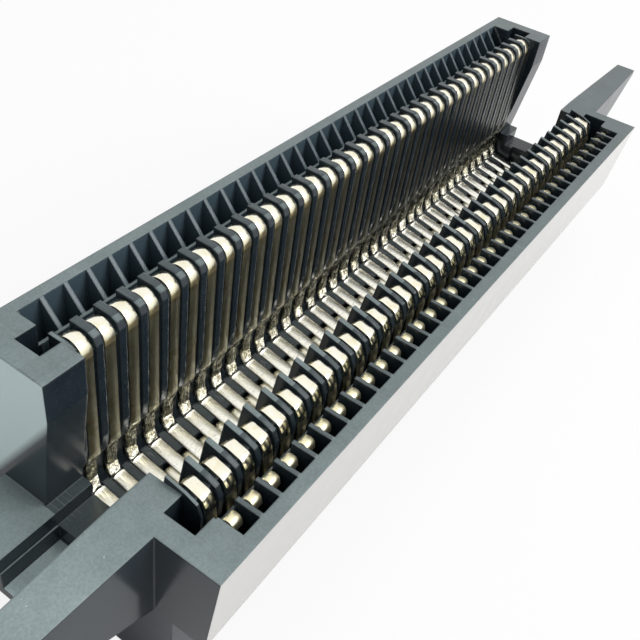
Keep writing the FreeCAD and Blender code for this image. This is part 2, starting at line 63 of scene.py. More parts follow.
# %% [markdown]
# ## The camera
# The photograph was taken from close above the near end, looking down the trough. The eye point, the three
# directions of the camera and its lens were worked out from where the ribs and edges fall in the picture.
# Setting the camera's matrix from them is exact, where turning it by hand would only be close.
# %% Camera
EYE = Vector((-73.879, -29.936, 73.508)) * MM
RIGHT = Vector((0.5603, -0.8174, 0.1337)).normalized()
AHEAD = Vector((0.6666, 0.3492, -0.6585)).normalized()
LENS = 45.24
SENSOR = 36


def placed(name, data):
    """An object with its data, put into the scene."""
    thing = bpy.data.objects.new(name, data)
    bpy.context.scene.collection.objects.link(thing)
    return thing


camera_data = bpy.data.cameras.new("camera")
camera_data.lens = LENS
camera_data.sensor_width = SENSOR
camera_data.clip_start = 1 * MM
camera_data.clip_end = 5000 * MM
camera = placed("camera", camera_data)
up = RIGHT.cross(AHEAD).normalized()
side = AHEAD.cross(up).normalized()
camera.matrix_world = Matrix.Translation(EYE) @ Matrix((side, up, -AHEAD)).transposed().to_4x4()
bpy.context.scene.camera = camera
print("camera stands", round(EYE.length / MM), "mm from the origin")

# %% [markdown]
# ## Nodes as sentences
# Materials here are node trees. Clicking them together is fine for one material, but a few small helpers
# that add a node and fill its inputs in one line let each material read as a list of what it is made of.
# %% Helpers that add nodes
def feed(tree, node, inputs):
    """Sets each input of a node to a value, or links it to another node's socket."""
    for place, value in inputs.items():
        if isinstance(value, bpy.types.NodeSocket):
            tree.links.new(value, node.inputs[place])
        else:
            node.inputs[place].default_value = value
    return node


def add(tree, kind, inputs=None, **settings):
    """A node with its settings and its input values or links."""
    node = tree.nodes.new(kind)
    for name, value in settings.items():
        setattr(node, name, value)
    return feed(tree, node, inputs or {})


def maths(tree, operation, first, second=0.0, clamp=False):
    node = add(tree, "ShaderNodeMath", {0: first, 1: second}, operation=operation, use_clamp=clamp)
    return node.outputs[0]


def times(tree, first, second):
    return maths(tree, "MULTIPLY", first, second)


def blurred(tree, vector, scale, detail, roughness=0.5):
    """Soft noise from 0 to 1."""
    inputs = {"Vector": vector, "Scale": scale, "Detail": detail, "Roughness": roughness}
    return add(tree, "ShaderNodeTexNoise", inputs).outputs["Fac"]


def ramp(tree, value, stops):
    """A colour ramp: stops are pairs of a place from 0 to 1 and a grey or a colour."""
    node = add(tree, "ShaderNodeValToRGB", {"Fac": value})
    ends = node.color_ramp.elements
    while len(ends) < len(stops):
        ends.new(0.5)
    for end, (place, shade) in zip(ends, stops):
        end.position = place
        end.color = (shade, shade, shade, 1) if isinstance(shade, (int, float)) else (*shade, 1)
    return node.outputs["Color"]


def mixed(tree, share, first, second, blend="MIX"):
    """One colour over another, by a share from 0 to 1. A colour is a socket or three numbers."""
    colours = {6: first, 7: second}
    inputs = {place: (*value, 1) if isinstance(value, tuple) else value for place, value in colours.items()}
    return add(tree, "ShaderNodeMix", {0: share, **inputs}, data_type="RGBA", blend_type=blend).outputs[2]


def toned(tree, base, mask, tone):
    """A base colour under a tone: how strongly it shows where the mask is white, and its colour."""
    strength, colour = tone
    return mixed(tree, times(tree, mask, strength), base, colour)


def raised(tree, height, strength, depth, inputs=None):
    """The surface direction over a relief whose depth is given in millimetres."""
    relief = {"Height": height, "Strength": strength, "Distance": depth * MM}
    return add(tree, "ShaderNodeBump", {**relief, **(inputs or {})}).outputs["Normal"]


print("node helpers ready")

# %% Helpers that start and end a material
def new_material(name):
    """A material with an empty node tree. Returns both."""
    material = bpy.data.materials.new(name)
    material.use_nodes = True
    material.node_tree.nodes.clear()
    return material, material.node_tree


def shaded(tree, finish):
    """Ends a material with the standard shader, whose own sockets take the finish."""
    shader = add(tree, "ShaderNodeBsdfPrincipled", finish)
    add(tree, "ShaderNodeOutputMaterial", {"Surface": shader.outputs["BSDF"]})


print("material helpers ready")

# %% [markdown]
# ## Masks
# A mask is a value from 0 to 1 that says where a finish shows. Painting masks by hand needs an image. Here
# they come from the place of a point and the direction of its surface, so they are sharp at any distance
# and follow the part's own sizes.
# %% Helpers that make masks
def above(tree, value, limit):
    return maths(tree, "GREATER_THAN", value, limit)


def below(tree, value, limit):
    return maths(tree, "LESS_THAN", value, limit)


def every(tree, *masks):
    """White only where every mask is white."""
    result = masks[0]
    for mask in masks[1:]:
        result = times(tree, result, mask)
    return result


def either(tree, first, second):
    return maths(tree, "MAXIMUM", first, second)


def without(tree, mask):
    return maths(tree, "SUBTRACT", 1.0, mask)


def within(tree, place, low, high):
    """White between two places, given in millimetres."""
    return every(tree, above(tree, place, low * MM), below(tree, place, high * MM))


def rising(tree, place, start, end, first=0.0, last=1.0):
    """Goes from first to last while the place goes from start to end, given in millimetres."""
    inputs = {"Value": place, "From Min": start * MM, "From Max": end * MM, "To Min": first, "To Max": last}
    return add(tree, "ShaderNodeMapRange", inputs).outputs[0]


print("mask helpers ready")

# %% [markdown]
# ## Effects kept in groups
# Fine scratches, dust specks and worn edges are finishes of their own, which any handled moulding may need.
# Each is a node group: built once, then placed in a material with its own values. A group puts out only a
# mask, and the material decides what the mask does.
# %% Helpers that make groups
def new_group(name, inputs):
    """An empty node group with one mask. Returns its tree, its input node and its output node."""
    tree = bpy.data.node_groups.new(name, "ShaderNodeTree")
    for label, kind, value in inputs:
        tree.interface.new_socket(label, in_out="INPUT", socket_type=kind).default_value = value
    tree.interface.new_socket("Mask", in_out="OUTPUT", socket_type="NodeSocketFloat")
    return tree, tree.nodes.new("NodeGroupInput"), tree.nodes.new("NodeGroupOutput")


def mask_of(tree, group, inputs):
    """Places a group in a material and gives its mask."""
    node = tree.nodes.new("ShaderNodeGroup")
    node.node_tree = group
    return feed(tree, node, inputs).outputs["Mask"]


PLACE_INPUT = ("Vector", "NodeSocketVector", (0, 0, 0))
print("group helpers ready")

# %% [markdown]
# ## Scratches
# Stretched noise gives the scratches: the coordinates are squeezed along one direction, so that each blob
# of noise becomes a long line. Three directions cross each other, and a slow noise leaves some patches
# clean.
# %% Scratch group
SCRATCH_LAYERS = ((0.35, 60, 4200), (-0.8, 45, 3300), (1.45, 80, 5200))
SCRATCH_TILT = (0.2, 0.1)
SCRATCH_PATCHES = (180, 2.0)
HAIRLINE = ((0.66, 0.0), (0.7, 1.0))


def scratch_group():
    """Each layer has a turn, how far its lines are stretched, and how fine they are."""
    tree, given, out = new_group("fine_scratches", [PLACE_INPUT, ("Density", "NodeSocketFloat", 0.5)])
    place = given.outputs["Vector"]
    layers = []
    for turn, stretch, fineness in SCRATCH_LAYERS:
        squeezed = {"Vector": place, "Rotation": (*SCRATCH_TILT, turn), "Scale": (1, 1 / stretch, 1)}
        turned = add(tree, "ShaderNodeMapping", squeezed).outputs[0]
        layers.append(ramp(tree, blurred(tree, turned, fineness, 1.0), HAIRLINE))
    lines = either(tree, either(tree, layers[0], layers[1]), layers[2])
    shown = maths(tree, "LESS_THAN", blurred(tree, place, *SCRATCH_PATCHES), given.outputs["Density"])
    tree.links.new(times(tree, lines, shown), out.inputs["Mask"])
    return tree


SCRATCHES = scratch_group()
print("group made:", SCRATCHES.name)

# %% [markdown]
# ## Specks
# Dust could be scattered as tiny objects, but at this size a cell pattern is enough: the centres of its
# cells are the specks, kept only where a second noise allows it.
# %% Speck group
SPECK_VALUES = (("Scale", 900), ("Size", 0.12), ("Amount", 0.4))
SPECK_PATCHES = (220, 3.0)


def speck_group():
    inputs = [PLACE_INPUT] + [(name, "NodeSocketFloat", value) for name, value in SPECK_VALUES]
    tree, given, out = new_group("dust_specks", inputs)
    place = given.outputs["Vector"]
    cells = add(tree, "ShaderNodeTexVoronoi", {"Vector": place, "Scale": given.outputs["Scale"]})
    dots = maths(tree, "LESS_THAN", cells.outputs["Distance"], given.outputs["Size"])
    where = maths(tree, "LESS_THAN", blurred(tree, place, *SPECK_PATCHES), given.outputs["Amount"])
    tree.links.new(times(tree, dots, where), out.inputs["Mask"])
    return tree


SPECKS = speck_group()
print("group made:", SPECKS.name)

# %% [markdown]
# ## Worn edges
# An edge wears pale before a face does. The Bevel node gives the direction that the surface would have if
# its edges were rounded. Where that leaves the true direction there is an edge, and a noise breaks the line
# up.
# %% Edge group
WEAR_RADIUS = 0.16
EDGE_BAND = ((0.75, 1.0), (0.985, 0.0))
EDGE_BREAKS = ((0.35, 0.25), (0.65, 1.0))


def edge_group():
    tree, given, out = new_group("edge_wear", [PLACE_INPUT, ("Breakup", "NodeSocketFloat", 900)])
    flat = add(tree, "ShaderNodeNewGeometry").outputs["True Normal"]
    rounded = add(tree, "ShaderNodeBevel", {"Radius": WEAR_RADIUS * MM}, samples=4).outputs["Normal"]
    agree = add(tree, "ShaderNodeVectorMath", {0: flat, 1: rounded}, operation="DOT_PRODUCT")
    edge = ramp(tree, agree.outputs["Value"], EDGE_BAND)
    rough = blurred(tree, given.outputs["Vector"], given.outputs["Breakup"], 3.0)
    tree.links.new(times(tree, edge, ramp(tree, rough, EDGE_BREAKS)), out.inputs["Mask"])
    return tree


EDGES = edge_group()
print("group made:", EDGES.name)

# %% [markdown]
# ## Where the moulding is worn and where it catches the light
# The housing is a glossy blue-black moulding that has been handled. Faces that look up are painted grey,
# partly for fine wear and partly as a painted sheen of the light on the tops, and faces inside the trough
# are still dark and shiny. Splitting the mesh into materials would cut through faces, so one material does
# both, and masks in the part's own millimetres say where each finish lies. Behind the combs and under the
# strips hands never reach and shade falls, so those places keep most of their dark as painted shade, and
# among the short side's ribs a painted shade halves the grey.
# %% Zones of the housing
ROW_END = 44.7
HORN_START = -49.1
EAR_START = -49.2
TROUGH_RIM = 12.5
SHORT_CELLS = (-11.45, -8.2)
SHORT_BACKS = (-8.2, -5.5)
TALL_BACKS = (6.1, 8.4)
TALL_CELLS = (8.4, 12.4)
CREST = (4.9, 6.8)
CREST_FOOT = 26
CREST_RADIUS = 0.4
FLAT_BAND = ((0.55, 0.0), (0.95, 1.0))
ROLLED_BAND = ((0.45, 0.0), (1.0, 0.9))
STEP_TOP = 14
STEP_SIDE = (3, 6)
SHELTERED_GREY = 0.3
RIB_PAINTED_SHADE = 0.5


def in_row(tree, x):
    return within(tree, x, -ROW_END, ROW_END)


def facing_up(tree, y, z, flat_up):
    """White where the surface looks up. On the tall fins' crests a rounded normal blends the facets."""
    flat = ramp(tree, flat_up, FLAT_BAND)
    rolled = add(tree, "ShaderNodeBevel", {"Radius": CREST_RADIUS * MM}, samples=4).outputs["Normal"]
    rolled_up = add(tree, "ShaderNodeSeparateXYZ", {0: rolled}).outputs["Z"]
    crest = every(tree, above(tree, z, CREST_FOOT * MM), within(tree, y, *CREST))
    return mixed(tree, crest, flat, ramp(tree, rolled_up, ROLLED_BAND))


def reach_and_light(tree, x, y, z):
    """1 where hands reach and light falls. Less in the trough and behind the combs, out of reach and in
    painted shade, and half among the short side's ribs, in painted shade.
    """
    handled_and_lit = either(tree, above(tree, z, TROUGH_RIM * MM), below(tree, x, HORN_START * MM))
    backs = either(tree, within(tree, y, *SHORT_BACKS), within(tree, y, *TALL_BACKS))
    step = every(tree, above(tree, x, EAR_START * MM), below(tree, z, STEP_TOP * MM))
    step = every(tree, step, within(tree, y, *STEP_SIDE))
    # Behind the combs and on the step the grey is kept off: out of reach, and painted shade.
    sheltered_and_shaded = either(tree, every(tree, in_row(tree, x), backs), step)
    reached_and_lit = either(tree, every(tree, handled_and_lit, without(tree, sheltered_and_shaded)), SHELTERED_GREY)
    # Painted shade: the grey is halved among the short side's ribs.
    shaded_ribs = every(tree, in_row(tree, x), within(tree, y, *SHORT_CELLS))
    return times(tree, reached_and_lit, without(tree, times(tree, shaded_ribs, RIB_PAINTED_SHADE)))


print("worn above", TROUGH_RIM, "mm, kept dark behind both combs")

# %% [markdown]
# ## How pale the grey is
# The grey of wear and sheen isn't even. It is palest on the horn and the ear, and it falls off towards the
# far end. On the low ledge by the ear it is raised as painted light. Two faces are paler than the rest, as a
# painted reflection of the white room: the short wall's outer face, and the upper part of the tall wall's
# end. Their masks come from the direction of the surface and a slanting line.
# %% Levels of the wear
FALL_OFF = (-70, 60, 1.25, 0.55)
HORN_PALE = (-56, -47, 1.3, 1.0)
LEDGE_SIDE = 5.6
LEDGE_TOP = 12
LEDGE_PAINTED_LIGHT = 1.6
OUTER_WALL = -11.5
NEAR_END = -48.9
TROUGH_SIDE = 3.4
PALE_LINE = (30.2, 31.6)
PALE_LINE_SLOPE = 1.45
SIDEWAYS = -0.8
OUTER_REFLECTION = (0.60, 0.59, 0.57)
END_REFLECTION = (0.53, 0.66, 0.67)


def grey_level(tree, x, y, z):
    """How bright the grey of wear and sheen is at a point, as a grey to multiply it by. The ledge gets
    painted light.
    """
    ledge = every(tree, below(tree, y, LEDGE_SIDE * MM), below(tree, z, LEDGE_TOP * MM))
    ledge = every(tree, ledge, below(tree, x, EAR_START * MM))
    # rubbed holds the paler horn and ear, and the painted light on the ledge.
    rubbed = maths(tree, "ADD", rising(tree, x, *HORN_PALE), times(tree, ledge, LEDGE_PAINTED_LIGHT))
    level = times(tree, rising(tree, x, *FALL_OFF), rubbed)
    return add(tree, "ShaderNodeCombineXYZ", {0: level, 1: level, 2: level}).outputs[0]


def with_painted_reflections(tree, base, x, y, z, normal):
    """Lays the two painted reflections, on the short wall's outer face and the tall wall's end, over a
    colour.
    """
    # Painted reflection on the short wall's outer face.
    outer = every(tree, below(tree, normal["Y"], SIDEWAYS), below(tree, y, OUTER_WALL * MM))
    base = mixed(tree, outer, base, OUTER_REFLECTION)
    # Painted reflection on the upper part of the tall wall's end, above a slanting line.
    line = rising(tree, maths(tree, "ADD", z, times(tree, y, PALE_LINE_SLOPE)), *PALE_LINE)
    end = every(tree, below(tree, x, NEAR_END * MM), below(tree, normal["X"], SIDEWAYS))
    return mixed(tree, every(tree, end, above(tree, y, TROUGH_SIDE * MM), line), base, END_REFLECTION)


print("wear falls off from the near horn to the far end")

# %% [markdown]
# ## The colours of the plastic
# Two colours make the moulding: the blue-black of fresh plastic, and a grey that is partly worn plastic and
# partly a painted sheen of light on the tops. A slow noise drifts each of them between two shades, because
# no moulding is one flat colour, and a fine grain breaks up the grey. The cells behind the tall comb are
# open to the light and are painted a little paler than the trough, as painted light.
# %% Colour of the housing
FRESH = ((0.3, (0.013, 0.021, 0.028)), (0.7, (0.021, 0.031, 0.039)))
WORN_AND_SHEEN = ((0.3, (0.162, 0.205, 0.208)), (0.7, (0.211, 0.260, 0.265)))
CELL_PAINTED_LIGHT = (0.055, 0.084, 0.104)
GRAIN_SHADE = ((0.38, 0.84), (0.6, 1.0))


def housing_colour(tree, spot, normal, upward, clouds, grain):
    """Fresh plastic, the grey of wear and painted sheen over it, and the two painted reflections over both.
    """
    x, y, z = spot["X"], spot["Y"], spot["Z"]
    # Painted light: the cells behind the tall comb are a little paler than the trough.
    cells = every(tree, in_row(tree, x), within(tree, y, *TALL_CELLS))
    fresh = mixed(tree, cells, ramp(tree, clouds, FRESH), CELL_PAINTED_LIGHT)
    # The grey stands partly for wear and partly for a painted sheen of light.
    worn_and_sheen = mixed(tree, 1.0, ramp(tree, clouds, WORN_AND_SHEEN), grey_level(tree, x, y, z), "MULTIPLY")
    worn_and_sheen = mixed(tree, 1.0, worn_and_sheen, ramp(tree, grain, GRAIN_SHADE), "MULTIPLY")
    return with_painted_reflections(tree, mixed(tree, upward, fresh, worn_and_sheen), x, y, z, normal)


print("fresh and worn plastic ready")

# %% [markdown]
# ## The moulded plastic
# Now the finishes are put together. Over the colours come pale edges, scratches and dust, and the worn faces
# are made duller than the glossy ones. The rounded edges come from the Bevel node, because a moulding this
# full of small ribs has no room for modelled bevels.
# %% Housing material
PLASTIC_IOR = 1.4
EDGE_RADIUS = 0.26
CLOUDS = (260, 5.0, 0.6)
GRAIN = (4200, 3.0, 0.7)
SCRATCH_DENSITY = 0.52
SIDE_SCRATCHES = 0.2
DUST = {"Scale": 1500.0, "Size": 0.1, "Amount": 0.36}
EDGE_BREAKUP = 1400.0
EDGE_TONE = (0.12, (0.33, 0.34, 0.38))
SCRATCH_TONE = (0.2, (0.3, 0.31, 0.33))
DUST_TONE = (0.7, (0.6, 0.6, 0.58))
GLOSS = ((0.3, 0.16), (0.7, 0.24))
SATIN = (0.36, 0.36, 0.36)
SCRATCH_ROUGHNESS = 0.12
GRAIN_HEIGHT = 0.5
PLASTIC_RELIEF = (0.12, 0.02)


def housing_material():
    material, tree = new_material("housing_plastic")
    place = add(tree, "ShaderNodeTexCoord").outputs["Object"]
    surface = add(tree, "ShaderNodeNewGeometry").outputs["True Normal"]
    normal = add(tree, "ShaderNodeSeparateXYZ", {0: surface}).outputs
    spot = add(tree, "ShaderNodeSeparateXYZ", {0: place}).outputs
    x, y, z = spot["X"], spot["Y"], spot["Z"]
    facing = facing_up(tree, y, z, normal["Z"])
    # The grey of wear and painted sheen shows on faces that look up, kept off the painted shade of recesses.
    upward = times(tree, facing, reach_and_light(tree, x, y, z))

    clouds = blurred(tree, place, *CLOUDS)
    grain = blurred(tree, place, *GRAIN)
    scratches = mask_of(tree, SCRATCHES, {"Vector": place, "Density": SCRATCH_DENSITY})
    scratches = every(tree, scratches, either(tree, facing, SIDE_SCRATCHES))
    specks = mask_of(tree, SPECKS, {"Vector": place, **DUST})
    edges = mask_of(tree, EDGES, {"Vector": place, "Breakup": EDGE_BREAKUP})

    colour = housing_colour(tree, spot, normal, upward, clouds, grain)
    colour = toned(tree, colour, edges, EDGE_TONE)
    colour = toned(tree, colour, scratches, SCRATCH_TONE)
    colour = toned(tree, colour, every(tree, specks, facing), DUST_TONE)

    satin = mixed(tree, upward, ramp(tree, clouds, GLOSS), SATIN)
    rough = maths(tree, "ADD", satin, times(tree, scratches, SCRATCH_ROUGHNESS), clamp=True)

    height = maths(tree, "SUBTRACT", times(tree, grain, GRAIN_HEIGHT), scratches)
    rounded = add(tree, "ShaderNodeBevel", {"Radius": EDGE_RADIUS * MM}, samples=4).outputs["Normal"]
    bump = raised(tree, height, *PLASTIC_RELIEF, {"Normal": rounded})
    shaded(tree, {"Base Color": colour, "Roughness": rough, "Normal": bump, "IOR": PLASTIC_IOR})
    return material


HOUSING = housing_material()
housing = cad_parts["housing"]
housing.data.materials.clear()
housing.data.materials.append(HOUSING)
print("housing dressed in", HOUSING.name)

# %% [markdown]
# ## The colours of the plating
# The strips are spring metal under a thin pale gold. A single gold would look like foil. The real one is
# near white on the bars and hooks, where the plating is thick, bronze down the wall where it is thin, and
# brown where cards have rubbed it. A painted highlight whitens the bars further, a painted olive reflection
# of the dark plastic darkens the wall, and the hooks' noses get bronze and brown as a painted dark
# reflection.
# Every tone is mixed over the one before, from the widest to the smallest. The wall strips of the far half
# stand in the shade of their fins, and a dark tone stands for that.
# %% Tones of the gold
BAR_SURFACE = 10.9
WALL_SIDE = 4
RUBBED = (16.4, 21.5)
NOSE = (27.1, 28.2)
NOSE_SIDE = 6.2
REFLECTION_BAND = (16.2, 27.6)
SHADED = (13.2, 27.9)
PAD_SIDE = -8.7
PAD_FOOT = 18.6
REFLECTION_RISE = (16, 25, 0.35, 0.7)
FAR_SHADE = (-22, 6, 0.0, 0.85)
BROWN_PATCHES = ((0.47, 0.0), (0.6, 1.0))
WALL_BROWN = 0.6
NOSE_REFLECTION = 0.5
RUB_AND_REFLECTION_BROWN = (0.50, 0.35, 0.13)
OLIVE_REFLECTION = (0.16, 0.16, 0.11)
FIN_SHADE = (0.05, 0.055, 0.05)


def wall_tones(tree, gold, cloud, y, z):
    """Rubbed brown low on the wall, the same brown as a painted dark reflection at the hooks' noses, and an
    olive painted reflection of the dark plastic up the wall.
    """
    on_wall = above(tree, y, WALL_SIDE * MM)
    low_wall = every(tree, on_wall, within(tree, z, *RUBBED))
    rubbed = every(tree, low_wall, ramp(tree, cloud, BROWN_PATCHES))
    # Painted dark reflection: brown on the hooks' noses.
    nose = every(tree, on_wall, within(tree, z, *NOSE), below(tree, y, NOSE_SIDE * MM))
    rubbed_and_reflected = either(tree, times(tree, rubbed, WALL_BROWN), times(tree, nose, NOSE_REFLECTION))
    # Painted reflection: olive for the dark plastic mirrored up the wall.
    reflected_dark = every(tree, rising(tree, z, *REFLECTION_RISE), on_wall, within(tree, z, *REFLECTION_BAND))
    return mixed(tree, reflected_dark, mixed(tree, rubbed_and_reflected, gold, RUB_AND_REFLECTION_BROWN), OLIVE_REFLECTION)


def in_shade(tree, gold, x, y, z):
    """Darkens the wall strips towards the far end."""
    on_wall = above(tree, y, WALL_SIDE * MM)
    shade = every(tree, rising(tree, x, *FAR_SHADE), on_wall, within(tree, z, *SHADED))
    return mixed(tree, shade, gold, FIN_SHADE)


def tip_pads(tree, y, z):
    """White on the bent tips of the short-side strips, which stand in their cells."""
    return every(tree, below(tree, y, PAD_SIDE * MM), above(tree, z, PAD_FOOT * MM))


print("tones for the wall, the noses, the tips and the bars")

# %% [markdown]
# ## Brush marks and folds
# The mesh carries two coordinates for marks: how far along the strip a point lies and how far across it,
# both in millimetres, so that the marks follow the bends. Long streaks come from drawing the strip, short
# scores across the bars from cards that slid over them. At the foot of the wall the strips are crushed into
# sharp folds. Bends of that size belong in the mesh, but the fine folds between them are finer than its
# vertices, so a bump steps up and down at ragged heights there.
# %% Marks of the gold
DRAWN = (0.25, 5.0, 1.0)
STREAKS = (1.6, 2.0)
CROSSED = (9.0, 0.6, 1.0)
CROSS_TURN = 0.3
SCORES = (1.5, 3.0)
SCORE_BAND = ((0.60, 0.0), (0.68, 1.0))


def marks_along(tree, run, lying):
    """Streaks along the strip, and scores across the bars."""
    drawn = add(tree, "ShaderNodeMapping", {"Vector": run, "Scale": DRAWN}).outputs[0]
    streaks = blurred(tree, drawn, *STREAKS)
    crossing = {"Vector": run, "Scale": CROSSED, "Rotation": (0, 0, CROSS_TURN)}
    crossed = add(tree, "ShaderNodeMapping", crossing).outputs[0]
    scored = blurred(tree, crossed, *SCORES)
    return streaks, times(tree, ramp(tree, scored, SCORE_BAND), lying)


print("streaks and scores ready")

# %% Folds at the foot
FOLDS = ((14.9, 16.1, 0.9), (14.4, 14.9, -0.4), (11.1, 12.3, 0.9))
FOLD_RELIEF = (1.0, 1.3)
CREASES = (1500, 3.0, 0.6)
CREASE_HEIGHT = 0.3
RAGGED = 0.9
CRUSH_START = 0.02


def folded_normal(tree, place, z, crushed, normal):
    """The surface direction over the crushed foot. A fold is where it starts and ends, and its step."""
    creases = blurred(tree, place, *CREASES)
    ragged = maths(tree, "ADD", z, times(tree, creases, RAGGED * MM))
    folds = [rising(tree, ragged, low, high, step, 0.0) for low, high, step in FOLDS]
    folded = maths(tree, "ADD", maths(tree, "ADD", folds[0], folds[1]), folds[2])
    creased = maths(tree, "ADD", times(tree, creases, CREASE_HEIGHT), folded)
    height = times(tree, creased, above(tree, crushed, CRUSH_START))
    return raised(tree, height, *FOLD_RELIEF, {"Normal": normal})


print("folds at the strips' feet:", len(FOLDS))

# %% [markdown]
# ## The plating
# The real plating is polished metal, brushed along the strip and duller where it is thin. Its wear follows
# the bends, which a point's place can't always tell. So the mesh carries two masks of its own: crinkle says
# how crushed each part of a strip is, and thin_plating_and_nose_reflection how thinly plated, and where the
# hooks' noses get bronze as a painted dark reflection. They are made with the strips, further down, and are
# read here by name.
# %% Gold material
GOLD_CLOUDS = (700, 4.0, 0.65)
STAINS = (1600, 5.0, 0.7)
PALE_GOLD = ((0.3, (0.90, 0.84, 0.60)), (0.5, (0.95, 0.92, 0.76)), (0.7, (0.97, 0.95, 0.86)))
BRONZE_THIN_AND_REFLECTION = ((0.35, (0.58, 0.49, 0.28)), (0.5, (0.68, 0.64, 0.43)), (0.65, (0.78, 0.76, 0.55)))
BRONZE_SHARE = 0.95
BAR_HIGHLIGHT = (0.5, (0.98, 0.98, 0.95))
PAD_GOLD = (0.93, 0.87, 0.60)
PITS = ((0.46, 1.0), (0.56, 0.0))
PIT_TONE = (0.7, (0.18, 0.16, 0.10))
SCORE_TONE = (0.45, (0.16, 0.15, 0.11))
POLISH = ((0.3, 0.14), (0.7, 0.26))
THIN_ROUGHNESS = 0.2
PAD_ROUGHNESS = 0.42
STREAK_HEIGHT = 0.5
BRUSH_RELIEF = (0.15, 0.03)


def gold_material():
    material, tree = new_material("contact_gold")
    place = add(tree, "ShaderNodeTexCoord").outputs["Object"]
    run = add(tree, "ShaderNodeUVMap", uv_map="strip_run").outputs["UV"]
    crushed = add(tree, "ShaderNodeAttribute", attribute_name="crinkle").outputs["Fac"]
    thin = add(tree, "ShaderNodeAttribute", attribute_name="thin_plating_and_nose_reflection").outputs["Fac"]
    spot = add(tree, "ShaderNodeSeparateXYZ", {0: place}).outputs
    x, y, z = spot["X"], spot["Y"], spot["Z"]
    lying = below(tree, z, BAR_SURFACE * MM)
    pad = tip_pads(tree, y, z)
    cloud = blurred(tree, place, *GOLD_CLOUDS)
    stain = blurred(tree, place, *STAINS)
    streaks, scores = marks_along(tree, run, lying)

    # Painted highlight: the bars are whitened further.
    pale = toned(tree, ramp(tree, cloud, PALE_GOLD), lying, BAR_HIGHLIGHT)
    # Bronze where the plating is thin, and as a painted dark reflection at the hooks' noses.
    gold = mixed(tree, times(tree, thin, BRONZE_SHARE), pale, ramp(tree, stain, BRONZE_THIN_AND_REFLECTION))
    gold = mixed(tree, pad, wall_tones(tree, gold, cloud, y, z), PAD_GOLD)
    gold = toned(tree, gold, every(tree, crushed, ramp(tree, stain, PITS)), PIT_TONE)
    gold = toned(tree, gold, scores, SCORE_TONE)
    gold = in_shade(tree, gold, x, y, z)

    rough = maths(tree, "ADD", ramp(tree, streaks, POLISH), times(tree, thin, THIN_ROUGHNESS))
    rough = either(tree, rough, times(tree, pad, PAD_ROUGHNESS))

    ridges = maths(tree, "ADD", times(tree, streaks, STREAK_HEIGHT), scores)
    brushed = raised(tree, ridges, *BRUSH_RELIEF)
    normal = folded_normal(tree, place, z, crushed, brushed)
    shaded(tree, {"Base Color": gold, "Roughness": rough, "Metallic": 1.0, "Normal": normal})
    return material


GOLD = gold_material()
print("plating made:", GOLD.name)

# %% [markdown]
# ## The line of a strip
# Every contact is a flat strip bent in one plane, so its whole shape is a line and a thickness. The line is
# a list of corners with a bend radius at each, seen from the row's end. Rounding the corners by formula
# keeps the list short, as a maker's drawing would.
# %% Rounded lines
BEND_STEP = math.radians(15)


def rounded_line(corners):
    """Points along straight runs joined by arcs. A corner is its place along Y and Z and its bend radius."""
    points = [Vector(corners[0][:2])]
    for (ay, az, _), (by, bz, radius), (cy, cz, _) in zip(corners, corners[1:], corners[2:]):
        before, corner, after = Vector((ay, az)), Vector((by, bz)), Vector((cy, cz))
        into = (corner - before).normalized()
        away = (after - corner).normalized()
        turn = into.angle_signed(away)
        reach = radius * math.tan(abs(turn) / 2)
        side_sign = -1 if turn > 0 else 1
        centre = corner - into * reach + Vector((-into.y, into.x)) * radius * side_sign
        start = corner - into * reach - centre
        steps = max(2, math.ceil(abs(turn) / BEND_STEP))
        for index in range(steps + 1):
            angle = -turn * index / steps
            cos, sin = math.cos(angle), math.sin(angle)
            points.append(centre + Vector((start.x * cos - start.y * sin, start.x * sin + start.y * cos)))
    points.append(Vector(corners[-1][:2]))
    return points


def divided(points, longest):
    """The same line with no run longer than a given length, for marks and ripples that need vertices."""
    fine = [points[0]]
    for start, end in zip(points, points[1:]):
        pieces = max(1, math.ceil((end - start).length / longest))
        fine += [start.lerp(end, piece / pieces) for piece in range(1, pieces + 1)]
    return fine


print("bends are rounded in steps of", round(math.degrees(BEND_STEP)), "degrees")

# %% [markdown]
# ## The two lines
# A wall strip starts with its spring tail under the floor, lies across the floor as a bar, leans back at
# its foot, climbs the tall wall and hooks over the comb. A short-side strip starts with its free tip in the
# cell, bent over as a small pad, loops under the comb, hooks over it, drops down the short wall and ends as
# a tail beside the bar. Both are written as corners from one end to the other.
# %% Wall strip
TALL_STRIP = 5.6
TALL_HOOK = Vector((6.7, 27.9))
TALL_RADIUS = 1.1
TALL_TAIL = -0.825
TALL_FREE_END = 1.65
TAIL_SPRING = 0.9
TAIL_END = 0.8


def floor_at(y):
    """The height at which a strip crosses the sloping floor."""
    return FLOOR_SEAT - FLOOR_SLOPE * (FOOT - y)


TALL_LINE = [
    (TALL_TAIL + TAIL_SPRING, TAIL_END, 0),
    (TALL_TAIL, floor_at(TALL_TAIL), 0.35),
    (FOOT - 0.2, floor_at(FOOT - 0.2), 0.7),
    (6.3, 11.5, 0.6),
    (6.25, 14.1, 0.5),
    (TALL_STRIP, 15.7, 0.6),
    (TALL_STRIP, TALL_HOOK.y + TALL_RADIUS, TALL_RADIUS),
    (TALL_HOOK.x + TALL_RADIUS, TALL_HOOK.y + TALL_RADIUS, TALL_RADIUS),
    (TALL_HOOK.x + TALL_RADIUS, TALL_HOOK.y - TALL_FREE_END, 0),
]
print("wall strip:", len(rounded_line(TALL_LINE)), "points")

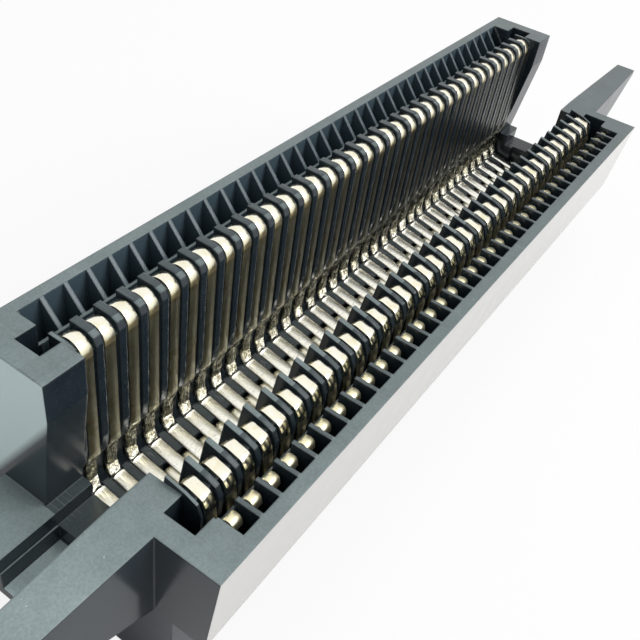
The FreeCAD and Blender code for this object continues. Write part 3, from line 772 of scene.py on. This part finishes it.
# %% Short-side strip
SHORT_STRIP = -4.955
SHORT_TOP = 21.2
SHORT_LEG = SHORT_STRIP - 2.6
SHORT_TAIL = 2.825
TIP_LINE = -9.405
LOOP_LINE = 15.85
SHORT_LINE = [
    (TIP_LINE - 0.68, 19.5, 0),
    (TIP_LINE - 0.55, 20.2, 0.28),
    (TIP_LINE, 20.2, 0.2),
    (TIP_LINE, LOOP_LINE, 0.7),
    (SHORT_LEG, LOOP_LINE, 0.7),
    (SHORT_LEG, 18.6, 0.8),
    (SHORT_LEG + 0.3, 20.0, 0.3),
    (SHORT_STRIP - 1.9, SHORT_TOP - 0.5, 0.35),
    (SHORT_STRIP, SHORT_TOP, 0.4),
    (SHORT_STRIP, floor_at(SHORT_STRIP), 0.35),
    (SHORT_TAIL, floor_at(SHORT_TAIL), 0.35),
    (SHORT_TAIL - TAIL_SPRING, TAIL_END, 0),
]
print("short-side strip:", len(rounded_line(SHORT_LINE)), "points")

# %% [markdown]
# ## How wide a strip is
# The strips are cut from sheet before they are bent, so their width changes along the line. A wall strip
# widens on one side where it becomes a bar. A short-side strip jogs sideways on the floor, so that its tail
# runs beside the bar of its neighbour. Each function gives a strip's two edges at a point of its line.
# %% Edges of a strip
HALF = STRIP_WIDTH / 2
FLOOR_LEVEL = 12
BAR_START = 5.745
BAR_BLEND = 0.12
BAR_RIGHT = 0.9
JOG_START = -2.4
TAIL_START = -1.55
JOG_LENGTH = 0.2
TAIL_LEFT = 1.0
TAIL_RIGHT = 1.78


def share_of(distance, length):
    """Goes from 0 to 1 over a length."""
    return min(1.0, max(0.0, distance / length))


def tall_sides(point):
    blend = share_of(BAR_START - point.x, BAR_BLEND) if point.y < FLOOR_LEVEL else 0.0
    return -HALF, HALF + (BAR_RIGHT - HALF) * blend


def short_sides(point):
    jog = share_of(point.x - JOG_START, JOG_LENGTH)
    past = share_of(point.x - TAIL_START, JOG_LENGTH)
    return -HALF + (TAIL_LEFT + HALF) * past, HALF + (TAIL_RIGHT - HALF) * jog


print("strips are", STRIP_WIDTH, "mm wide, bars", round(HALF + BAR_RIGHT, 2), "mm")

# %% [markdown]
# ## From line to strip
# A curve with a bevel would give the same section everywhere. Here the section changes, so the strip is
# swept by hand: at each point of the line stands a ring of nine vertices, a flat bar's section with its
# corners rolled, the left one rolled more along the bars. Rings are joined with quads, and the ends are
# closed. Each strip gets its own small lean and ripple, because hand-set spring contacts never stand quite
# alike.
# %% One ring
ROLL = 0.06
BAR_ROLL = 0.24


def ring_of(left, right, roll):
    """The section's corners: each is its place along X and its depth from the strip's back."""
    return (
        (left + ROLL, 0),
        (right - ROLL, 0),
        (right, ROLL),
        (right, THICKNESS - ROLL),
        (right - ROLL, THICKNESS),
        (left + roll, THICKNESS),
        (left + roll * 0.3, THICKNESS - roll * 0.3),
        (left, THICKNESS - roll),
        (left, ROLL * 0.5),
    )


print("edges rolled by", ROLL, "mm, by", BAR_ROLL, "mm along the bars")

# %% Joining rings
def join_rings(mesh, rings, travelled, seed, run_layer):
    """Quads between neighbouring rings. Each of their corners notes how far along and across it lies."""
    count = len(rings[0])
    for index, (ring, following) in enumerate(zip(rings, rings[1:])):
        runs = (travelled[index], travelled[index + 1], travelled[index + 1], travelled[index])
        for corner in range(count):
            other = (corner + 1) % count
            corners = (ring[corner], following[corner], following[other], ring[other])
            face = mesh.faces.new([vertex for vertex, _ in corners])
            face.smooth = True
            for loop, run, (_, across) in zip(face.loops, runs, corners):
                loop[run_layer].uv = (run + seed, across)
    mesh.faces.new([vertex for vertex, _ in rings[0]])
    mesh.faces.new([vertex for vertex, _ in reversed(rings[-1])])


print("rings are joined by quads")

# %% Sweeping a strip
BAR_TOP = 10.6
BAR_END = -0.6
WAVE = 0.14
TWIST = 0.12
LEAN = 0.06
LEAN_HEIGHT = 12
SEEDS = 100
RIPPLE_ACROSS = 1.6
RIPPLE_ALONG = 1.3


def sweep_strip(mesh, line, middle, sides, crinkle, thin, chance):
    """Adds one bent strip to a bmesh. crinkle and thin give the two masks at a point of the line."""
    run_layer = mesh.loops.layers.uv.get("strip_run") or mesh.loops.layers.uv.new("strip_run")
    layers = mesh.verts.layers.float
    crushed_layer = layers.get("crinkle") or layers.new("crinkle")
    thin_layer = layers.get("thin_plating_and_nose_reflection") or layers.new("thin_plating_and_nose_reflection")
    lean = chance.uniform(-LEAN, LEAN)
    seed = chance.uniform(0, SEEDS)
    rings, travelled, length = [], [], 0.0
    for index, point in enumerate(line):
        before = line[max(index - 1, 0)]
        after = line[min(index + 1, len(line) - 1)]
        along = (after - before).normalized()
        out = Vector((-along.y, along.x))
        length += (point - before).length
        left, right = sides(point)
        shift = middle + lean * max(0.0, point.y - FLOOR_SEAT) / LEAN_HEIGHT
        crush = crinkle(point)
        is_bar = point.y < BAR_TOP and BAR_END < point.x < FOOT
        ring = []
        for x, depth in ring_of(left, right, BAR_ROLL if is_bar else ROLL):
            spot = Vector((x * RIPPLE_ACROSS + seed, length * RIPPLE_ALONG, seed))
            wave = noise.noise(spot) * WAVE * crush
            twist = TWIST * crush * (x - left) / (right - left)
            flat = point + out * (depth + wave + twist)
            vertex = mesh.verts.new(Vector((shift + x, flat.x, flat.y)) * MM)
            vertex[crushed_layer] = crush
            vertex[thin_layer] = thin(point)
            ring.append((vertex, x))
        rings.append(ring)
        travelled.append(length)
    join_rings(mesh, rings, travelled, seed, run_layer)


print("a sweep ready for both lines")

# %% [markdown]
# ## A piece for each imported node
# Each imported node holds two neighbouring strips, and the piece that replaces it holds the same two. Both
# are swept into one mesh, and edges sharper than a limit stay sharp while the bends are shaded smooth.
# %% Contact piece
SHARP = math.radians(50)


def mesh_data(name, mesh):
    """Turns a bmesh into mesh data and frees it."""
    data = bpy.data.meshes.new(name)
    mesh.to_mesh(data)
    mesh.free()
    return data


def contact_piece(node, name, line, sides, crinkle, thin, places, chance):
    """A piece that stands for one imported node: its strips swept side by side."""
    mesh = bmesh.new()
    for place in places:
        sweep_strip(mesh, line, FIRST + place * PITCH, sides, crinkle, thin, chance)
    bmesh.ops.recalc_face_normals(mesh, faces=mesh.faces)
    data = mesh_data(name, mesh)
    data.set_sharp_from_angle(angle=SHARP)
    data.materials.append(GOLD)
    piece = placed(name, data)
    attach(piece, "root")
    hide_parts(node)
    return piece


print("edges over", round(math.degrees(SHARP)), "degrees stay sharp")

# %% [markdown]
# ## Where strips are crushed, thinly plated, and painted with a dark reflection
# The foot of a wall strip, where it leans back and turns into the floor bar, is crushed in the photograph,
# and the long straight stretch above it is thinly plated. At the hook's nose the same mask paints bronze as
# a dark reflection. The short-side strips are smooth. Small functions say how strong each effect is along
# the line.
# %% Masks along a strip
FOOT_SIDE = 5
FOOT_BEND = 15.9
FADE_UP = 0.8
FADE_DOWN = 0.3
STRAIGHT_START = 15.5
NOSE_START = 27
NOSE_TOP = 28.9
NOSE_FADE = 1.2
HOOK_BACK = 6.5
SHORT_FLOOR_START = -3
TIP_BEND = 19.2
NOSE_REFLECTION_SHARE = 0.9
WALL_THIN = 0.8
FOOT_THIN = 0.3
TAIL_THIN = 0.35


def tall_crinkle(point):
    if point.x < FOOT_SIDE:
        return 0.0
    return min(share_of(FOOT_BEND - point.y, FADE_UP), share_of(point.y - BAR_TOP, FADE_DOWN))


def tall_thin_and_nose(point):
    # The hook's nose: bronze as a painted dark reflection.
    if point.y > NOSE_START:
        return min(NOSE_REFLECTION_SHARE, share_of(NOSE_TOP - point.y, NOSE_FADE)) if point.x < HOOK_BACK else 0.0
    if point.y < BAR_TOP:
        return 0.0
    return WALL_THIN if point.y > STRAIGHT_START else FOOT_THIN


def short_crinkle(point):
    return 0.0


def short_thin(point):
    if point.x > SHORT_FLOOR_START and point.y < FLOOR_LEVEL:
        return TAIL_THIN
    return 0.0 if point.y > TIP_BEND else WALL_THIN


print("crushed from", BAR_TOP, "to", FOOT_BEND, "mm up the tall wall")

# %% Both rows
SHORT_RUN = 0.5
TALL_RUN = 0.3
KINDS = (
    ("short_side", divided(rounded_line(SHORT_LINE), SHORT_RUN), short_sides, short_crinkle, short_thin),
    ("tall_side", divided(rounded_line(TALL_LINE), TALL_RUN), tall_sides, tall_crinkle, tall_thin_and_nose),
)
chance = random.Random(7)
contact_pieces = []
for pair in range(CONTACTS // 2):
    for kind, line, sides, crinkle, thin in KINDS:
        node = f"{kind}_contacts_{pair + 1:02d}"
        name = f"{kind}_strips_{pair + 1:02d}"
        places = (2 * pair, 2 * pair + 1)
        contact_pieces.append(contact_piece(node, name, line, sides, crinkle, thin, places, chance))
face_count = sum(len(piece.data.polygons) for piece in contact_pieces)
print(len(contact_pieces), "pieces with", face_count, "faces in all")

# %% [markdown]
# ## The table
# The part lies on white paper. Paper that is lit only by the lamps would come out grey, and more light
# would burn out the part. So the camera sees the paper mostly as a plain white, and the share that is left
# keeps the shadow, while the part is lit by and mirrors ordinary white paper.
# %% Floor
TABLE = 900
WHITE_SHARE = 0.85
PAPER = (0.9, 0.9, 0.9, 1)
WHITE = (1, 1, 1, 1)


def paper_material():
    material, tree = new_material("white_paper")
    paper = add(tree, "ShaderNodeBsdfDiffuse", {"Color": PAPER})
    glow = add(tree, "ShaderNodeEmission", {"Color": WHITE, "Strength": 1.0})
    rays = add(tree, "ShaderNodeLightPath").outputs
    share = times(tree, either(tree, rays["Is Camera Ray"], rays["Is Transmission Ray"]), WHITE_SHARE)
    shaders = {"Fac": share, 1: paper.outputs["BSDF"], 2: glow.outputs["Emission"]}
    blend = add(tree, "ShaderNodeMixShader", shaders)
    add(tree, "ShaderNodeOutputMaterial", {"Surface": blend.outputs["Shader"]})
    return material


def white_floor():
    mesh = bmesh.new()
    bmesh.ops.create_grid(mesh, x_segments=8, y_segments=8, size=TABLE * MM)
    data = mesh_data("table", mesh)
    data.materials.append(paper_material())
    floor = placed("table", data)


white_floor()
print("floor laid,", 2 * TABLE, "mm wide")

# %% [markdown]
# ## Room and lamp
# A white room gives soft light from every side. It is dimmer as a light than as a picture, so that gold and
# gloss mirror a white room while the plastic stays dark. One broad soft lamp stands beyond the short wall,
# far enough along the row that it lights the outer wall and the tops and leaves the trough its shade.
# %% World and lamp
SKY = 0.55
LAMP_PLACE = Vector((200, -390, 420)) * MM
LAMP_TARGET = Vector((0, 0, 15)) * MM
LAMP_SIZE = 420 * MM
LAMP_POWER = 2.8


def white_world():
    world = bpy.data.worlds.new("white_room")
    bpy.context.scene.world = world
    world.use_nodes = True
    tree = world.node_tree
    tree.nodes.clear()
    rays = add(tree, "ShaderNodeLightPath").outputs
    seen = either(tree, rays["Is Camera Ray"], rays["Is Glossy Ray"])
    seen = either(tree, seen, rays["Is Transmission Ray"])
    strength = maths(tree, "ADD", times(tree, seen, 1.0 - SKY), SKY)
    sky = add(tree, "ShaderNodeBackground", {"Color": WHITE, "Strength": strength})
    add(tree, "ShaderNodeOutputWorld", {"Surface": sky.outputs["Background"]})


white_world()
lamp_data = bpy.data.lights.new("window_light", "AREA")
lamp_data.shape = "SQUARE"
lamp_data.size = LAMP_SIZE
lamp_data.energy = LAMP_POWER
lamp = placed("window_light", lamp_data)
lamp.location = LAMP_PLACE
lamp.rotation_euler = (LAMP_PLACE - LAMP_TARGET).to_track_quat("Z", "Y").to_euler()
bpy.context.scene.view_settings.view_transform = "Standard"
print("lit by a white room and one soft lamp of", LAMP_POWER, "watts")
